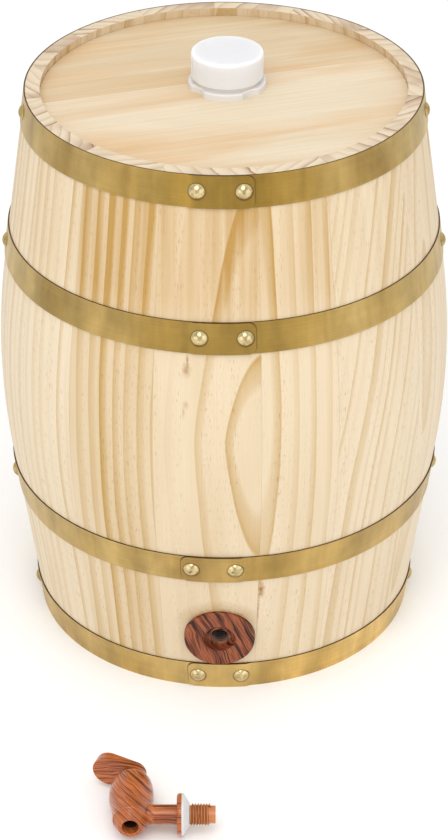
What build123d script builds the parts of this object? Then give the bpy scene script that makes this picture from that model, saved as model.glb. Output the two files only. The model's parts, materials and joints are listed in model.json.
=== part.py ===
from build123d import *
import os
from math import cos, degrees, radians, sin, sqrt, tan

# Wooden drinks barrel standing on end, with a screw cap on its head, a tap socket low on its front
# and a tap that lies unscrewed on the floor in front of it.
# Millimetres, +Z up. The origin is on the floor, on the barrel's axis. The tap socket faces -Y.

os.makedirs("parts", exist_ok=True)

# Barrel wall
barrel_height = 330.0
end_diameter = 218.6  # outside the wood, at either rim
stave_taper = 8.1  # degrees that the straight ends of the staves lean in
bend_height = 118.0  # rounded middle, between the two straight ends
stave_thickness = 8.0
# Angles that the staves fill, in degrees, starting with the tap stave and going towards +X
stave_widths = (26.8, 20.1, 28.7, 24.0, 25.0, 26.0, 25.0, 25.0, 24.0, 26.0, 24.0, 23.0, 19.0, 19.5, 23.9)
tap_stave_start = -17.6  # the tap stave's left edge, in degrees from the front

# Heads, each glued up from three boards
chime_depth = 5.0  # how far a head lies inside the rim
head_thickness = 10.0
croze_depth = 3.0  # groove in the staves that takes a head's tongue
tongue_thickness = 5.0
head_clearance = 0.2
top_head_turn = 17.0  # degrees that the boards' grain is turned from +X
top_head_joints = (-0.264, 0.071)  # glue joints across the grain, as shares of the end diameter
bottom_head_turn = -25.0
bottom_head_joints = (-0.168, 0.155)

# Hoops, their lap rivets and their nails
hoop_width = 18.0
hoop_thickness = 0.8
hoop_fit = 0.05
quarter_hoop_rise = 81.5  # a quarter hoop's outer edge from the end of the staves
rivet_gap = 24.5  # between the centres of a lap's two rivets
lap_overhang = 5.5  # strip past each of those rivets
lap_corner = 4.0  # rounded corners of the strip's outer end
lap_ramp = 3.0  # length over which the strip rises onto the lap
lap_turns = (-1.0, -0.4, -2.8, -1.3)  # lap centres from the front in degrees, top hoop first
lap_sides = (1, 1, -1, -1)  # side on which the strip's outer end shows
rivet_head_diameter = 8.8
rivet_head_height = 2.3
rivet_shank_diameter = 3.0
# Single nails round each hoop, from the top hoop down, in degrees from the front
nail_turns = (
    (82.9, 180.0, 278.7),
    (84.2, 180.0, 275.8),
    (85.2, 180.0, 278.8),
    (85.5, 180.0, 275.5),
)
nail_depth = 5.0  # into the wood

# Filler neck, its nut and the screw cap
neck_place = (1.8, 9.0)  # behind the middle of the head
neck_bore_diameter = 27.0
neck_diameter = 32.0
neck_height = 17.5  # above the head
neck_flange_diameter = 52.0
neck_flange_thickness = 2.0
neck_clearance = 0.1
nut_thickness = 4.0
nut_collar_height = 2.0
nut_collar_diameter = 36.0
nut_diameter = 43.2
nut_notch_count = 4
nut_notch_depth = 2.5
nut_notch_radius = 9.0
nut_notch_turn = -52.0  # degrees
nut_notch_corner = 2.5  # rounding of a notch's two corners
nut_edge = 1.0
cap_diameter = 40.0
cap_wall = 2.0
cap_gap = 0.5  # between the cap's skirt and the nut
cap_edge = 1.6  # rounding of the cap's top edge
seal_thickness = 1.5
seal_clearance = 0.3

# Liner bag that holds the drink
liner_gap = 0.5
liner_thickness = 1.0

# Tap socket
socket_turn = -1.25  # degrees from the front
socket_height = 38.2
socket_tilt = 7.0  # degrees that the socket looks down
socket_disc_diameter = 40.0
socket_bed = 1.1  # depth of the disc's pocket where the round wood falls away most
socket_proud = 1.6  # how far the disc's face stands out of the wood
socket_disc_clearance = 0.2
socket_disc_edge = 0.5
socket_shank_diameter = 21.0
socket_bore_diameter = 10.2  # core of the thread that takes the tap
socket_recess_diameter = 18.2
socket_recess_depth = 3.8
socket_rim_diameter = 12.6  # rim left standing round the bore
socket_rim_height = 1.0
gasket_diameter = 33.0
gasket_web = 1.5  # thinnest part of the inner gasket
socket_nut_flats = 31.0
socket_nut_thickness = 6.0
socket_shank_end = 1.0  # shank past its nut
socket_fit = 0.1

# Tap: moulded body
tap_place = (-50.1, -239.6)  # where its arm meets its spindle, over the floor
spout_length = 10.6  # spout tip below the arm
spout_bore_diameter = 9.1
spout_lip_diameter = 13.2
spout_diameter = 18.0
spout_cone_length = 4.0
spout_seat = 5.0  # length of the spout's bore
shoulder_diameter = 19.2  # where the belly starts
shoulder_rise = -5.3
waist_diameter = 22.0
waist_rise = 6.5
belly_diameter = 24.2
belly_rise = 14.5
body_top_diameter = 22.9
body_top_rise = 21.9
arm_diameter = 10.8
arm_bore_diameter = 6.8
arm_length = 24.8  # spindle axis to the flange
tap_flange_diameter = 22.8
tap_flange_thickness = 2.6
tap_flange_edge = 1.6
washer_thickness = 4.2
washer_lip = 1.0
washer_nose_diameter = 12.4
washer_clearance = 0.1
thread_relief_diameter = 9.6  # neck under the washer
thread_core_diameter = 10.0
thread_length = 11.2
pilot_diameter = 9.6
pilot_length = 2.8

# Tap: plug, bonnet and lever
plug_diameter = 13.2
plug_clearance = 0.05
plug_top_rise = 19.5
plug_bore_diameter = 8.6
plug_bore_rise = 6.0
ring_rises = (9.0, 16.0)
ring_section = 1.9
ring_play = 0.1
stem_diameter = 8.0
stem_square = 5.6
bonnet_height = 7.2
bonnet_skirt = 0.4  # step in from the body to the bonnet
bonnet_top_diameter = 15.0
bonnet_clearance = 0.1
lever_gap = 0.3  # between the lever's boss and the bonnet
lever_lift = 2.6  # lever over the bonnet, on the spindle axis
lever_tilt = 19.0  # degrees by which the thumb end leans away from the body
lever_thickness = 6.3
lever_boss_diameter = 10.2
lever_hub_diameter = 12.6
lever_end_diameter = 17.4
lever_reach = 14.4  # spindle axis to the centre of the thumb end
lever_edge = 0.8
lever_spot = 2.0  # how deep the screw's flat lies in the lever's back
screw_head_diameter = 5.6
screw_head_height = 1.4
screw_shank_diameter = 2.4
screw_length = 7.0

# Worked out from the sizes above
lean = radians(stave_taper)
mid_height = barrel_height / 2
bend_radius = bend_height / 2 / sin(lean)
bend_centre = end_diameter / 2 + tan(lean) * (mid_height - bend_height / 2) - bend_radius * cos(lean)
top_head_face = barrel_height - chime_depth
top_head_under = top_head_face - head_thickness
bottom_head_face = chime_depth + head_thickness
liner_top = top_head_under - neck_flange_thickness
liner_inset = stave_thickness + liner_gap
hoop_rise = hoop_width * cos(lean)
hoop_lows = (
    barrel_height - hoop_rise,
    barrel_height - quarter_hoop_rise - hoop_rise,
    quarter_hoop_rise,
    0.0,
)
hoop_names = ("top_rim_hoop", "top_quarter_hoop", "bottom_quarter_hoop", "bottom_rim_hoop")
tap_axis_height = max(tap_flange_diameter, belly_diameter) / 2


def wall_radius(z, inwards=0.0):
    """Radius at height z of the barrel's outer surface, or of a surface that lies inwards of it."""
    up = abs(z - mid_height)
    radius = bend_radius - inwards
    if up < radius * sin(lean):
        return bend_centre + sqrt(radius**2 - up**2)
    return bend_centre + radius * cos(lean) - tan(lean) * (up - radius * sin(lean))


def wall_edges(inwards, low, high):
    """Side of the barrel as two straight runs joined by the bend, from one height to another."""
    radius = bend_radius - inwards
    side = bend_centre + radius * cos(lean)
    rise = radius * sin(lean)
    lower = (side, mid_height - rise)
    upper = (side, mid_height + rise)
    return [
        Line((wall_radius(low, inwards), low), lower),
        ThreePointArc(lower, (bend_centre + radius, mid_height), upper),
        Line(upper, (wall_radius(high, inwards), high)),
    ]


def turned(edges, turn=360.0):
    """Closed outline of radius and height, turned about Z from +X."""
    return revolve(Plane.XZ * make_face(edges), Axis.Z, turn)


def outline(*points):
    """Edges of a closed polygon."""
    return Polyline(*points, close=True).edges()


def rod(diameter, low, high):
    """Plain cylinder about Z between two heights."""
    return Pos(0, 0, (low + high) / 2) * Cylinder(diameter / 2, high - low)


def inside(inwards, low, high):
    """Solid that fills the barrel up to a surface inwards of its outer one."""
    ends = [
        Line((0, low), (wall_radius(low, inwards), low)),
        Line((wall_radius(high, inwards), high), (0, high)),
        Line((0, high), (0, low)),
    ]
    return turned(wall_edges(inwards, low, high) + ends)


def outward(turn, z, proud=0.0, tilt=lean):
    """Place on the barrel's side, turn degrees from the front. Its Z points out of the wood."""
    around = radians(turn - 90)
    rise = sin(tilt) if z > mid_height else -sin(tilt)
    normal = Vector(cos(around) * cos(tilt), sin(around) * cos(tilt), rise)
    foot = Vector(wall_radius(z) * cos(around), wall_radius(z) * sin(around), z)
    level = Vector(-sin(around), cos(around), 0)
    return Plane(origin=foot + normal * proud, x_dir=level, z_dir=normal).location


def write(name, *shapes):
    """One STEP file for a piece, or for a group of like pieces."""
    solids = [solid for shape in shapes for solid in shape.solids()]
    export_step(solids[0] if len(solids) == 1 else Compound(children=solids), f"parts/{name}.step")


# Tap socket: place, and how deep its flat disc sits in the round wood
socket = outward(socket_turn, socket_height, tilt=radians(socket_tilt))
socket_round = wall_radius(socket_height) / cos(lean)
socket_bow = socket_round - sqrt(socket_round**2 - (socket_disc_diameter / 2) ** 2)
socket_floor = -socket_bow - socket_bed
socket_pocket = rod(socket_disc_diameter + 2 * socket_disc_clearance, socket_floor, socket_disc_diameter)
socket_pocket += rod(socket_shank_diameter + 2 * socket_fit, -3 * stave_thickness, socket_floor + 1)
lining = liner_inset + liner_thickness
gasket_round = wall_radius(socket_height, lining) / cos(lean)
gasket_bow = gasket_round - sqrt(gasket_round**2 - (gasket_diameter / 2) ** 2)
gasket_face = -lining - gasket_bow - gasket_web
socket_nut_face = gasket_face - socket_nut_thickness
socket_end = socket_nut_face - socket_shank_end


# Nails and rivets
def rivet(length):
    """Round-headed rivet or nail about Z, with the flat of its head at zero."""
    head = rivet_head_diameter / 2
    shank = rivet_shank_diameter / 2
    dome = (head**2 + rivet_head_height**2) / (2 * rivet_head_height)
    between = (head / 2, rivet_head_height - dome + sqrt(dome**2 - head**2 / 4))
    return turned(
        [
            Line((0, -length), (shank, -length)),
            Line((shank, -length), (shank, 0)),
            Line((shank, 0), (head, 0)),
            ThreePointArc((head, 0), between, (0, rivet_head_height)),
            Line((0, rivet_head_height), (0, -length)),
        ]
    )


def lap_rivet_turns(index):
    """Angles of a hoop's two lap rivets from the front."""
    half = degrees(rivet_gap / 2 / wall_radius(hoop_lows[index] + hoop_rise / 2))
    return lap_turns[index] - half, lap_turns[index] + half


lap_proud = hoop_fit + 2 * hoop_thickness
nail_proud = hoop_fit + hoop_thickness
rivet_places = []
nail_places = []
for index, low in enumerate(hoop_lows):
    level = low + hoop_rise / 2
    rivet_places += [outward(turn, level, lap_proud) for turn in lap_rivet_turns(index)]
    nail_places += [outward(turn, level, nail_proud) for turn in nail_turns[index]]
write("lap_rivets", *[place * rivet(2 * hoop_thickness) for place in rivet_places])
write("hoop_nails", *[place * rivet(nail_proud + nail_depth) for place in nail_places])


# Hoops: conical strips whose ends lap at the front
def strip_section(low, layer):
    """Section of one layer of a hoop's strip on the side of the barrel."""
    high = low + hoop_rise
    inner = (hoop_fit + layer * hoop_thickness) / cos(lean)
    outer = inner + hoop_thickness / cos(lean)
    return outline(
        (wall_radius(low) + inner, low),
        (wall_radius(low) + outer, low),
        (wall_radius(high) + outer, high),
        (wall_radius(high) + inner, high),
    )


def hoop(index):
    """Hoop with its doubled lap, drilled for its rivets and nails."""
    low = hoop_lows[index]
    left, right = lap_rivet_turns(index)
    past = degrees(lap_overhang / wall_radius(low + hoop_rise / 2))
    lap = turned(strip_section(low, 1), right - left + 2 * past)
    ends = sorted(lap.faces().filter_by(GeomType.PLANE), key=lambda face: abs(face.normal_at().Z))[:2]
    ends.sort(key=lambda face: face.center().Y * lap_sides[index])
    corners = [edge for edge in ends[1].edges() if edge.length < 2 * hoop_thickness]
    sides = [edge for edge in ends[0].edges() if edge.length > 2 * hoop_thickness]
    rising = max(sides, key=lambda edge: edge.center().X ** 2 + edge.center().Y ** 2)
    lap = chamfer(rising, length=hoop_thickness * 0.96, length2=lap_ramp, reference=ends[0])
    far = [edge for edge in lap.edges() if any((edge.center() - old.center()).length < 0.01 for old in corners)]
    lap = fillet(far, lap_corner)
    strip = turned(strip_section(low, 0)) + Rot(0, 0, left - past - 90) * lap
    for place in rivet_places[2 * index : 2 * index + 2] + nail_places[3 * index : 3 * index + 3]:
        strip -= place * rod(rivet_shank_diameter, -6 * hoop_thickness, 1)
    return strip


for index, name in enumerate(hoop_names):
    write(name, hoop(index))


# Staves: one bent section, turned through each stave's own angle
def croze_radius(middle):
    return wall_radius(middle, stave_thickness) + croze_depth


head_middles = (chime_depth + head_thickness / 2, top_head_face - head_thickness / 2)
stave_section = make_face(
    wall_edges(0, 0, barrel_height)
    + wall_edges(stave_thickness, 0, barrel_height)
    + [
        Line((wall_radius(0), 0), (wall_radius(0, stave_thickness), 0)),
        Line((wall_radius(barrel_height), barrel_height), (wall_radius(0, stave_thickness), barrel_height)),
    ]
)
for middle in head_middles:
    inner = wall_radius(middle, stave_thickness) - croze_depth
    stave_section -= Pos((inner + croze_radius(middle)) / 2, middle) * Rectangle(2 * croze_depth, tongue_thickness)

stave_start = tap_stave_start
for number, width in enumerate(stave_widths, 1):
    angle = 360 * width / sum(stave_widths)
    stave = Rot(0, 0, stave_start - 90) * revolve(Plane.XZ * stave_section, Axis.Z, angle)
    for turn, place in zip(sum(nail_turns, ()), nail_places):
        if (turn - stave_start + 4) % 360 < angle + 8:
            stave -= place * rod(rivet_shank_diameter, -nail_proud - nail_depth, 1)
    if number in (1, 2, len(stave_widths)):
        stave -= socket * socket_pocket
    write(f"stave_{number:02d}", stave)
    stave_start += angle


# Heads: a disc with a tongue round its edge, sawn into three boards
def head_boards(outer_face, inner_face, turn, joints, hole=0.0):
    low, high = min(outer_face, inner_face), max(outer_face, inner_face)
    middle = (low + high) / 2
    disc = rod(2 * (wall_radius(outer_face, stave_thickness) - head_clearance), low, high)
    disc += rod(
        2 * (croze_radius(middle) - head_clearance),
        middle - tongue_thickness / 2,
        middle + tongue_thickness / 2,
    )
    if hole:
        disc -= over_head * rod(hole, low - 1, high + 1)
    far = end_diameter
    sawn = [joint * end_diameter for joint in joints]
    boards = []
    for near, end in zip((-far, *sawn), (*sawn, far)):
        slab = Rot(0, 0, turn) * Pos(0, (near + end) / 2, middle) * Box(2 * far, end - near, 2 * head_thickness)
        boards.append(disc & slab)
    return boards


over_head = Pos(*neck_place, 0)
neck_hole = neck_diameter + 2 * neck_clearance
top_boards = head_boards(top_head_face, top_head_under, top_head_turn, top_head_joints, neck_hole)
bottom_boards = head_boards(chime_depth, bottom_head_face, bottom_head_turn, bottom_head_joints)
for place, top_board, bottom_board in zip(("front", "middle", "back"), top_boards, bottom_boards):
    write(f"top_head_{place}", top_board)
    write(f"bottom_head_{place}", bottom_board)

# Liner bag, its neck and the nut that clamps the neck to the head
liner = inside(liner_inset, bottom_head_face, liner_top)
liner -= inside(lining, bottom_head_face + liner_thickness, liner_top - liner_thickness)
liner -= over_head * rod(neck_bore_diameter, mid_height, barrel_height)
liner -= socket * rod(socket_shank_diameter + 2 * socket_fit, -3 * stave_thickness, 0)
write("liner_bag", liner)

neck_top = top_head_face + neck_height
neck = rod(neck_flange_diameter, liner_top, top_head_under) + rod(neck_diameter, liner_top, neck_top)
write("filler_neck", over_head * (neck - rod(neck_bore_diameter, liner_top - 1, neck_top + 1)))

nut = rod(nut_diameter, 0, nut_thickness)
for number in range(nut_notch_count):
    notch_turn = nut_notch_turn + number * 360 / nut_notch_count
    notch_place = Rot(0, 0, notch_turn) * Pos(nut_diameter / 2 - nut_notch_depth + nut_notch_radius, 0, 0)
    nut -= notch_place * rod(2 * nut_notch_radius, -1, nut_thickness + 1)
nut = fillet(nut.edges().filter_by(Axis.Z), nut_notch_corner)
nut = fillet(nut.edges().group_by(Axis.Z)[-1], nut_edge)
nut += rod(nut_collar_diameter, 0, nut_thickness + nut_collar_height)
write("neck_nut", over_head * Pos(0, 0, top_head_face) * (nut - rod(neck_hole, -1, neck_height)))

# Screw cap and the seal inside it
cap_foot = top_head_face + nut_thickness + nut_collar_height + cap_gap
cap_ceiling = neck_top + seal_thickness
cap = rod(cap_diameter, cap_foot, cap_ceiling + cap_wall)
cap = fillet(cap.edges().group_by(Axis.Z)[-1], cap_edge)
write("cap", over_head * (cap - rod(cap_diameter - 2 * cap_wall, cap_foot - 1, cap_ceiling)))
write("cap_seal", over_head * rod(cap_diameter - 2 * cap_wall - 2 * seal_clearance, neck_top, cap_ceiling))

# Tap socket, gasket and nut, all on the socket's own axis
disc = rod(socket_disc_diameter, socket_floor, socket_proud)
disc = fillet(disc.edges().group_by(Axis.Z)[-1], socket_disc_edge)
bush = disc + rod(socket_shank_diameter, socket_end, socket_floor)
recess_floor = socket_proud - socket_recess_depth
bush -= rod(socket_recess_diameter, recess_floor, socket_proud + 1)
bush += rod(socket_rim_diameter, recess_floor, recess_floor + socket_rim_height)
bush -= rod(socket_bore_diameter, socket_end - 1, socket_proud + 1)
write("tap_socket", socket * bush)

shank_hole = rod(socket_shank_diameter + 2 * socket_fit, socket_end - 5, 5)
gasket = socket * (rod(gasket_diameter, gasket_face, 0) - shank_hole)
write("socket_gasket", gasket & inside(lining + socket_fit, bottom_head_face + liner_thickness, liner_top))
hexagon = extrude(RegularPolygon(socket_nut_flats / 2, 6, major_radius=False), socket_nut_thickness)
write("socket_nut", socket * (Pos(0, 0, socket_nut_face) * hexagon - shank_hole))

# Tap, built with its spindle along Z and its arm along +X, then laid on its side
tap = Plane(origin=(*tap_place, tap_axis_height), x_dir=(1, 0, 0), z_dir=(0, 1, 0)).location
along_arm = Rot(0, 90, 0)
spout_tip = -spout_length
seat_rise = spout_tip + spout_seat
body_bore = plug_diameter + 2 * plug_clearance
flange_start = arm_length
flange_end = flange_start + tap_flange_thickness
pilot_start = flange_end + washer_thickness + thread_length
spigot_end = pilot_start + pilot_length

shell = turned(
    [
        *Polyline(
            (shoulder_diameter / 2, shoulder_rise),
            (spout_diameter / 2, shoulder_rise - (shoulder_diameter - spout_diameter) / 2),
            (spout_diameter / 2, spout_tip + spout_cone_length),
            (spout_lip_diameter / 2, spout_tip),
            (0, spout_tip),
            (0, body_top_rise),
            (body_top_diameter / 2, body_top_rise),
        ).edges(),
        Spline(
            (body_top_diameter / 2, body_top_rise),
            (belly_diameter / 2, belly_rise),
            tangents=((0.2, -1), (0, -1)),
        ),
        Spline(
            (belly_diameter / 2, belly_rise),
            (waist_diameter / 2, waist_rise),
            (shoulder_diameter / 2, shoulder_rise),
            tangents=((0, -1), (-0.08, -1)),
        ),
    ]
)
flange = rod(tap_flange_diameter, flange_start, flange_end)
flange = fillet(flange.edges().group_by(Axis.Z)[0], tap_flange_edge)
arm = rod(arm_diameter, 0, flange_start) + flange
arm += rod(thread_relief_diameter, flange_end, flange_end + washer_thickness)
arm += rod(thread_core_diameter, flange_end + washer_thickness, pilot_start)
arm += rod(pilot_diameter, pilot_start, spigot_end)
shell += along_arm * arm
shell -= rod(body_bore, seat_rise, body_top_rise + 1)
shell -= rod(spout_bore_diameter, spout_tip - 1, seat_rise + 1)
shell -= along_arm * rod(arm_bore_diameter, 0, spigot_end + 1)
write("tap_body", tap * shell)

core = thread_relief_diameter / 2 + washer_clearance
washer = turned(
    outline(
        (core, 0),
        (tap_flange_diameter / 2, 0),
        (tap_flange_diameter / 2, washer_lip),
        (washer_nose_diameter / 2, washer_thickness),
        (core, washer_thickness),
    )
)
write("tap_washer", tap * along_arm * Pos(0, 0, flange_end) * washer)

# Plug with its waterway, sealing rings and bonnet
bonnet_top = body_top_rise + bonnet_height
lever_low = bonnet_top + lever_lift
lever_back = lever_low + lever_thickness / cos(radians(lever_tilt))
screw_seat = lever_back - lever_spot
stem_rise = screw_seat - screw_shank_diameter / 2
ring_centre = (plug_diameter - ring_section) / 2
groove = plug_diameter - 2 * ring_section - ring_play
plug = rod(plug_diameter, seat_rise, plug_top_rise) + rod(stem_diameter, plug_top_rise, bonnet_top)
plug += Pos(0, 0, (bonnet_top + stem_rise) / 2) * Box(stem_square, stem_square, stem_rise - bonnet_top)
for rise in ring_rises:
    half = (ring_section + ring_play) / 2
    plug -= rod(plug_diameter + 1, rise - half, rise + half) - rod(groove, rise - half - 1, rise + half + 1)
plug -= rod(plug_bore_diameter, seat_rise - 1, plug_bore_rise)
plug -= Rot(90, 0, 0) * rod(arm_bore_diameter, 0, plug_diameter)
plug -= rod(screw_shank_diameter, screw_seat - screw_length, stem_rise + 1)
write("tap_plug", tap * plug)
write("plug_rings", *[tap * Pos(0, 0, rise) * Torus(ring_centre, ring_section / 2) for rise in ring_rises])

skirt = body_top_diameter / 2 - bonnet_skirt
crown = bonnet_top_diameter / 2
shoulder = (crown + (skirt - crown) * 0.73, body_top_rise + bonnet_height * 0.6)
bonnet = turned(
    [
        *Polyline((crown, bonnet_top), (0, bonnet_top), (0, body_top_rise), (skirt, body_top_rise)).edges(),
        ThreePointArc((skirt, body_top_rise), shoulder, (crown, bonnet_top)),
    ]
)
bonnet += rod(plug_diameter, plug_top_rise, body_top_rise)
write("tap_bonnet", tap * (bonnet - rod(stem_diameter + 2 * bonnet_clearance, plug_top_rise - 1, bonnet_top + 1)))

# Lever on the plug's square stem, leaning away from the body
hub_circle = Circle(lever_hub_diameter / 2)
end_circle = Pos(-lever_reach, 0) * Circle(lever_end_diameter / 2)
paddle = extrude(make_hull(hub_circle.edges() + end_circle.edges()), lever_thickness)
paddle = fillet(paddle.edges().group_by(Axis.Z)[-1], lever_edge)
lever = Pos(0, 0, lever_low) * Rot(0, lever_tilt, 0) * paddle
lever += rod(lever_boss_diameter, bonnet_top + lever_gap, lever_low + lever_thickness / 2)
lever -= Pos(0, 0, (bonnet_top + stem_rise) / 2) * Box(stem_square + 0.1, stem_square + 0.1, stem_rise - bonnet_top)
lever -= rod(screw_shank_diameter + 0.2, bonnet_top, lever_back)
lever -= rod(screw_head_diameter + 0.6, screw_seat, lever_back + lever_thickness)
write("tap_lever", tap * lever)
screw = rod(screw_head_diameter, screw_seat, screw_seat + screw_head_height)
screw = fillet(screw.edges().group_by(Axis.Z)[-1], screw_head_height / 2)
write("lever_screw", tap * (screw + rod(screw_shank_diameter, screw_seat - screw_length, screw_seat)))
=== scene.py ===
import json
import math
from collections import namedtuple

import bpy
from bpy.props import FloatProperty, FloatVectorProperty, IntProperty, PointerProperty
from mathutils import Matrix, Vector


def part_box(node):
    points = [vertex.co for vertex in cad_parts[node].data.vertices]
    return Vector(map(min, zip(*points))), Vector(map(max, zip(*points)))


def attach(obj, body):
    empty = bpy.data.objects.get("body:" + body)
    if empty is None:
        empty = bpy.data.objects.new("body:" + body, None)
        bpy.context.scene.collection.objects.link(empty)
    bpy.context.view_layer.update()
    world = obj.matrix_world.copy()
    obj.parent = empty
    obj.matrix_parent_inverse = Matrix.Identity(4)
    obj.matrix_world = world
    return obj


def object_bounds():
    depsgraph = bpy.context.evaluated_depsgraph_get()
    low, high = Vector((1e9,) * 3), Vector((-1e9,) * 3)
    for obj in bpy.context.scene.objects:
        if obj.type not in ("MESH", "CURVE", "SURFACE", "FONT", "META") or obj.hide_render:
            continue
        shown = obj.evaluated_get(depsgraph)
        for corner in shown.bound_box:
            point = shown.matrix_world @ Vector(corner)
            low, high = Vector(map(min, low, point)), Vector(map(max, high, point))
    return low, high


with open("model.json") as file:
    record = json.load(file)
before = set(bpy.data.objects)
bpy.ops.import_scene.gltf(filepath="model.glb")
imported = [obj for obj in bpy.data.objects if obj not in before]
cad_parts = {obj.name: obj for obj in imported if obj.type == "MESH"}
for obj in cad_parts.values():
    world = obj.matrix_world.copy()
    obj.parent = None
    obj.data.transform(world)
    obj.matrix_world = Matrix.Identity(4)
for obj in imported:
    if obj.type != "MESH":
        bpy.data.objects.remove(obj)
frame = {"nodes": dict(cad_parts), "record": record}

bl_info = {
    "name": "Pine Barrel with Loose Tap",
    "version": (1, 0, 0),
    "blender": (4, 5, 0),
    "location": "3D View > Sidebar > Barrel",
    "description": "Dresses a wooden drinks barrel, its brass hoops, its closure and its loose tap",
    "category": "Object",
}

CAD_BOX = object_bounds()
NODES = frame["nodes"]
MOUNTS = {mount["name"]: mount for mount in frame["record"]["mounts"]}
MM = 0.001


def linear(red, green, blue):
    """Colour given as 0 to 255 on a screen, as Blender's linear values."""
    def one(value):
        value /= 255
        return value / 12.92 if value <= 0.04045 else ((value + 0.055) / 1.055) ** 2.4

    return one(red), one(green), one(blue)


def colour(name, description, screen):
    """Colour property with its default given in screen values."""
    return FloatVectorProperty(
        name=name,
        description=description,
        subtype="COLOR",
        size=3,
        min=0,
        max=1,
        default=linear(*screen),
    )


def number(name, description, default, subtype="NONE"):
    """Number property."""
    return FloatProperty(name=name, description=description, subtype=subtype, default=default)


def length(name, description, millimetres):
    """Length property with its default given in millimetres."""
    return number(name, description, millimetres * MM, "DISTANCE")


def angle(name, description, degrees):
    """Angle property with its default given in degrees."""
    return number(name, description, math.radians(degrees), "ANGLE")


def power(name, watts):
    """Power property of a lamp."""
    return number(name, "Power in watts", watts, "POWER")


class BARREL_PG_wood(bpy.types.PropertyGroup):
    """Pine of the staves and heads."""
    cream: colour("Earlywood", "Pale wood between the growth lines", (223, 206, 178))
    tan: colour("Latewood", "Darker growth lines", (184, 147, 80))
    amber: colour("Amber", "Tint of the sun-darkened upper end", (238, 222, 196))
    fleck: colour("Resin flecks", "Short dark dashes along the grain", (140, 94, 50))
    honey: colour("Honey", "Broad warm streaks of the heads", (205, 156, 90))
    knot: colour("Knots", "Knots, resin pockets and soaked wood", (150, 104, 44))
    end_line: colour("End grain", "Lines and patches on the staves' sawn ends", (142, 96, 62))
    fibre_width: length("Fibre width", "Width of the fine streaks along the grain", 0.5)
    fleck_length: length("Fleck length", "Length of a resin fleck", 5)
    seam_width: length("Seam width", "Width of the shaded line where two staves meet", 0.35)


class BARREL_PG_brass(bpy.types.PropertyGroup):
    """Brass of the hoops, rivets and nails."""
    hoop: colour("Hoop", "Brushed strip of the hoops", (209, 180, 117))
    hoop_dull: colour("Dull hoop", "Duller patches of the strip", (186, 154, 90))
    patina: colour("Patina", "Darker front of the upper hoops", (148, 117, 50))
    # Painted shade: this colour darkens the strips' edge faces, the strip round rivets and nails, and
    # the strip just past its outer end
    edge: colour("Hoop edge", "Sheared edge of the strip", (98, 76, 38))
    rivet: colour("Rivet", "Polished rivet heads", (202, 183, 136))
    nail: colour("Nail", "Duller nails round the hoops", (184, 160, 102))
    brush_width: length("Brush line", "Width of one brushed line", 0.35)
    head_radius: length("Rivet radius", "Radius of a rivet head", 4.4)
    head_height: length("Rivet height", "Height of a rivet head", 2.3)
    lap_corner: length("Lap corner", "Radius of the corners of a strip's outer end", 4)
    lap_shade: length("Lap shade", "Width of the shaded line round a strip's outer end", 1.0)
    lean: angle("Lean", "Lean of the staves under the hoops", 8.1)


class BARREL_PG_closure(bpy.types.PropertyGroup):
    """White plastic and silicone."""
    cap: colour("Cap", "Screw cap", (242, 242, 246))
    neck: colour("Neck", "Filler neck and nuts", (219, 216, 212))
    silicone: colour("Silicone", "Washer, gasket and seal", (212, 206, 204))
    liner: colour("Liner", "Film of the liner bag", (205, 207, 210))
    plug: colour("Plug", "Turning plug inside the tap", (68, 46, 34))


class BARREL_PG_tap(bpy.types.PropertyGroup):
    """Printed finish and thread of the tap and its socket."""
    light: colour("Light", "Pale orange streaks of the wood print", (200, 116, 57))
    ground: colour("Ground", "Orange-brown ground of the wood print", (146, 68, 30))
    stripe: colour("Stripe", "Dark stripes of the wood print", (70, 24, 9))
    bare: colour("Bare plastic", "Unprinted plastic of the thread", (196, 126, 72))
    rose_light: colour("Socket light", "Reddish streaks of the socket's print", (158, 88, 56))
    rose_ground: colour("Socket ground", "Red-brown ground of the socket's print", (110, 54, 30))
    rose_stripe: colour("Socket stripe", "Dark stripes of the socket's print", (40, 16, 11))
    # Painted shade in the grooves of the tap's thread
    groove_shadow: colour("Groove", "Shaded grooves of the tap's thread", (104, 42, 14))
    # Painted shadow deep in the socket's bore and painted light near its mouth
    bore_shading: colour("Bore", "Dark inside of the socket's bore", (16, 8, 6))
    bore_mouth_light: colour("Bore mouth", "Paler mouth of the socket's bore", (102, 78, 60))
    ring: colour("Plug rings", "Black rubber rings of the plug", (28, 28, 28))
    screw: colour("Lever screw", "Steel screw of the lever", (190, 192, 195))
    thread_pitch: length("Thread pitch", "Distance from one crest to the next", 1.5)
    thread_crest: length("Thread crest", "Radius of the tap's thread over its crests", 5.9)
    thread_depth: length("Bore thread", "Height of the thread inside the socket", 0.45)
    thread_steps: IntProperty(
        name="Thread steps", description="Faces in one turn of a thread", default=48, min=12
    )


class BARREL_PG_stage(bpy.types.PropertyGroup):
    """Camera, floor and light."""
    camera_place: FloatVectorProperty(
        name="Camera",
        description="Where the camera stands",
        subtype="TRANSLATION",
        default=(0, -1.46975, 1.03035),
    )
    camera_pitch: angle("Pitch", "How far the camera looks down", 31.625)
    camera_lens: number("Lens", "Focal length in millimetres", 126.23)
    camera_shift: number("Shift", "Upright shift of the picture", -0.0227)
    floor: colour("Floor", "Plain pale floor", (252, 252, 252))
    key_power: power("Key light", 9)
    fill_power: power("Fill light", 3.4)
    low_power: power("Low light", 3.2)
    sky: number("Sky", "Strength of the light from all round", 0.96)


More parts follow.
